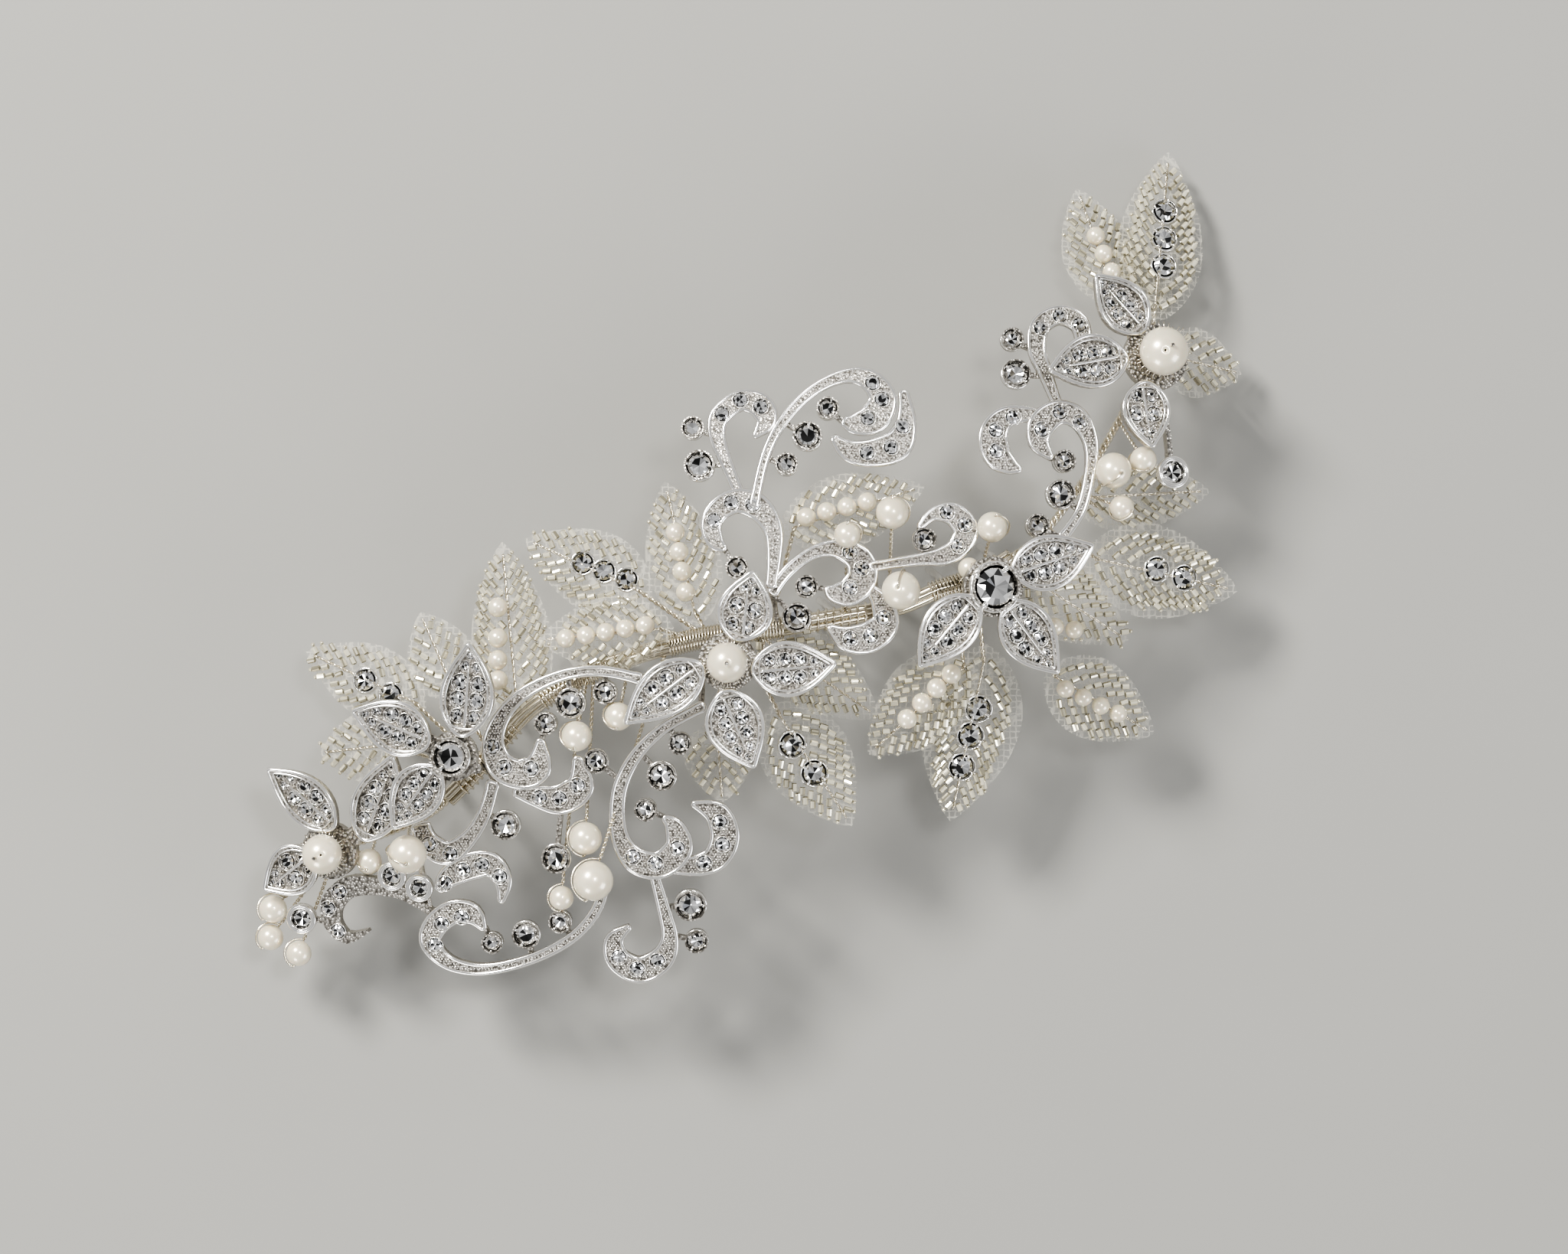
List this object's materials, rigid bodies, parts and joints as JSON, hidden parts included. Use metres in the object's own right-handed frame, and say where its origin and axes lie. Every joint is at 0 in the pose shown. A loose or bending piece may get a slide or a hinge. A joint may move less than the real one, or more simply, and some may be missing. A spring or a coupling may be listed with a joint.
{
  "type": "decorative hair comb",
  "caption": "Large curved bridal side comb: cast silver flowers and scrolls with pave stones, ivory pearls and beaded net leaves wired to a comb with long wire teeth.",
  "frame": {"origin": "centre of the outline seen from above, at the height of the tooth tips", "axes": "+Z towards the side that shows; +X along the wider side of the outline, +Y along the other; the comb's long axis lies about 31 degrees from +X"},
  "size_m": [0.1621, 0.1365, 0.0427],
  "materials": {
    "silver_plate": "bright silver plate, granulated between the stones",
    "craft_wire": "silver craft wire with a slight champagne tone",
    "tooth_wire": "polished plated wire",
    "net": "sheer stiffened off-white net",
    "glass_beads": "silver-lined clear tube beads",
    "pearl": "ivory pearl coating",
    "crystal": "clear foil-backed crystal"
  },
  "bodies": {
    "comb": {"comb_spine": "craft_wire", "comb_teeth": "tooth_wire", "spine_wraps": "craft_wire", "frame_wires": "craft_wire", "leaf_net_1": "net", "leaf_net_2": "net", "leaf_net_3": "net", "leaf_net_4": "net", "leaf_net_5": "net", "leaf_net_6": "net", "leaf_net_7": "net", "leaf_net_8": "net", "leaf_net_9": "net", "leaf_net_10": "net", "leaf_net_11": "net", "leaf_net_12": "net", "leaf_net_13": "net", "leaf_net_14": "net", "leaf_net_15": "net", "leaf_net_16": "net", "leaf_net_17": "net", "leaf_net_18": "net", "leaf_net_19": "net", "leaf_net_20": "net", "leaf_net_21": "net", "leaf_beads": "glass_beads", "leaf_pearls": "pearl", "leaf_stones": "crystal", "flower_left": "silver_plate", "flower_left_inner": "silver_plate", "flower_centre": "silver_plate", "flower_right_inner": "silver_plate", "flower_right": "silver_plate", "flower_pearls": "pearl", "flower_chatons": "crystal", "pave_stones": "crystal", "drop_stones": "crystal", "scrolls_left": "silver_plate", "scrolls_lower": "silver_plate", "scrolls_upper": "silver_plate", "scrolls_right": "silver_plate", "pearl_wires": "craft_wire"},
    "pearl_1": {"loose_pearl_1": "pearl"},
    "pearl_2": {"loose_pearl_2": "pearl"},
    "pearl_3": {"loose_pearl_3": "pearl"},
    "pearl_4": {"loose_pearl_4": "pearl"},
    "pearl_5": {"loose_pearl_5": "pearl"},
    "pearl_6": {"loose_pearl_6": "pearl"},
    "pearl_7": {"loose_pearl_7": "pearl"},
    "pearl_8": {"loose_pearl_8": "pearl"},
    "pearl_9": {"loose_pearl_9": "pearl"},
    "pearl_10": {"loose_pearl_10": "pearl"},
    "pearl_11": {"loose_pearl_11": "pearl"},
    "pearl_12": {"loose_pearl_12": "pearl"},
    "pearl_13": {"loose_pearl_13": "pearl"},
    "pearl_14": {"loose_pearl_14": "pearl"},
    "pearl_15": {"loose_pearl_15": "pearl"},
    "pearl_16": {"loose_pearl_16": "pearl"},
    "pearl_17": {"loose_pearl_17": "pearl"},
    "pearl_18": {"loose_pearl_18": "pearl"}
  },
  "joints": [
    {"name": "pearl_1_spin", "type": "hinge", "parent": "comb", "child": "pearl_1", "pos_m": [-0.0623, -0.0486, 0.01933], "axis": [-0.1397, -0.6211, 0.7712], "continuous": true},
    {"name": "pearl_2_spin", "type": "hinge", "parent": "comb", "child": "pearl_2", "pos_m": [-0.0557, -0.0472, 0.02575], "axis": [0.0186, -0.4547, 0.8904], "continuous": true},
    {"name": "pearl_3_spin", "type": "hinge", "parent": "comb", "child": "pearl_3", "pos_m": [-0.0784, -0.0566, 0.01432], "axis": [-0.6804, -0.703, 0.207], "continuous": true},
    {"name": "pearl_4_spin", "type": "hinge", "parent": "comb", "child": "pearl_4", "pos_m": [-0.0789, -0.0613, 0.01297], "axis": [-0.5867, -0.806, 0.0785], "continuous": true},
    {"name": "pearl_5_spin", "type": "hinge", "parent": "comb", "child": "pearl_5", "pos_m": [-0.0742, -0.0639, 0.01385], "axis": [-0.3348, -0.9351, 0.1165], "continuous": true},
    {"name": "pearl_6_spin", "type": "hinge", "parent": "comb", "child": "pearl_6", "pos_m": [-0.028, -0.0279, 0.0306], "axis": [-0.1321, -0.8093, 0.5724], "continuous": true},
    {"name": "pearl_7_spin", "type": "hinge", "parent": "comb", "child": "pearl_7", "pos_m": [-0.0212, -0.0247, 0.03079], "axis": [-0.1572, -0.8211, 0.5488], "continuous": true},
    {"name": "pearl_8_spin", "type": "hinge", "parent": "comb", "child": "pearl_8", "pos_m": [-0.0266, -0.0445, 0.02871], "axis": [-0.044, -0.9827, 0.1798], "continuous": true},
    {"name": "pearl_9_spin", "type": "hinge", "parent": "comb", "child": "pearl_9", "pos_m": [-0.0253, -0.0513, 0.03036], "axis": [-0.2969, -0.9456, 0.1334], "continuous": true},
    {"name": "pearl_10_spin", "type": "hinge", "parent": "comb", "child": "pearl_10", "pos_m": [-0.0306, -0.0543, 0.02543], "axis": [-0.0889, -0.9946, 0.0529], "continuous": true},
    {"name": "pearl_11_spin", "type": "hinge", "parent": "comb", "child": "pearl_11", "pos_m": [0.0158, 0.0047, 0.0337], "axis": [0.0126, 0.833, 0.5531], "continuous": true},
    {"name": "pearl_12_spin", "type": "hinge", "parent": "comb", "child": "pearl_12", "pos_m": [0.0231, 0.0083, 0.03253], "axis": [0.0286, 0.8813, 0.4716], "continuous": true},
    {"name": "pearl_13_spin", "type": "hinge", "parent": "comb", "child": "pearl_13", "pos_m": [0.0245, -0.0043, 0.03453], "axis": [-0.1904, 0.1451, 0.9709], "continuous": true},
    {"name": "pearl_14_spin", "type": "hinge", "parent": "comb", "child": "pearl_14", "pos_m": [0.0394, 0.006, 0.02912], "axis": [0.1713, 0.7234, 0.6689], "continuous": true},
    {"name": "pearl_15_spin", "type": "hinge", "parent": "comb", "child": "pearl_15", "pos_m": [0.0356, -0.0007, 0.02893], "axis": [0.2873, 0.3734, 0.8821], "continuous": true},
    {"name": "pearl_16_spin", "type": "hinge", "parent": "comb", "child": "pearl_16", "pos_m": [0.0593, 0.0153, 0.02436], "axis": [0.3983, -0.1245, 0.9088], "continuous": true},
    {"name": "pearl_17_spin", "type": "hinge", "parent": "comb", "child": "pearl_17", "pos_m": [0.0643, 0.0171, 0.02151], "axis": [0.3696, -0.6593, 0.6548], "continuous": true},
    {"name": "pearl_18_spin", "type": "hinge", "parent": "comb", "child": "pearl_18", "pos_m": [0.0607, 0.0093, 0.02344], "axis": [0.7823, -0.292, 0.5503], "continuous": true}
  ]
}
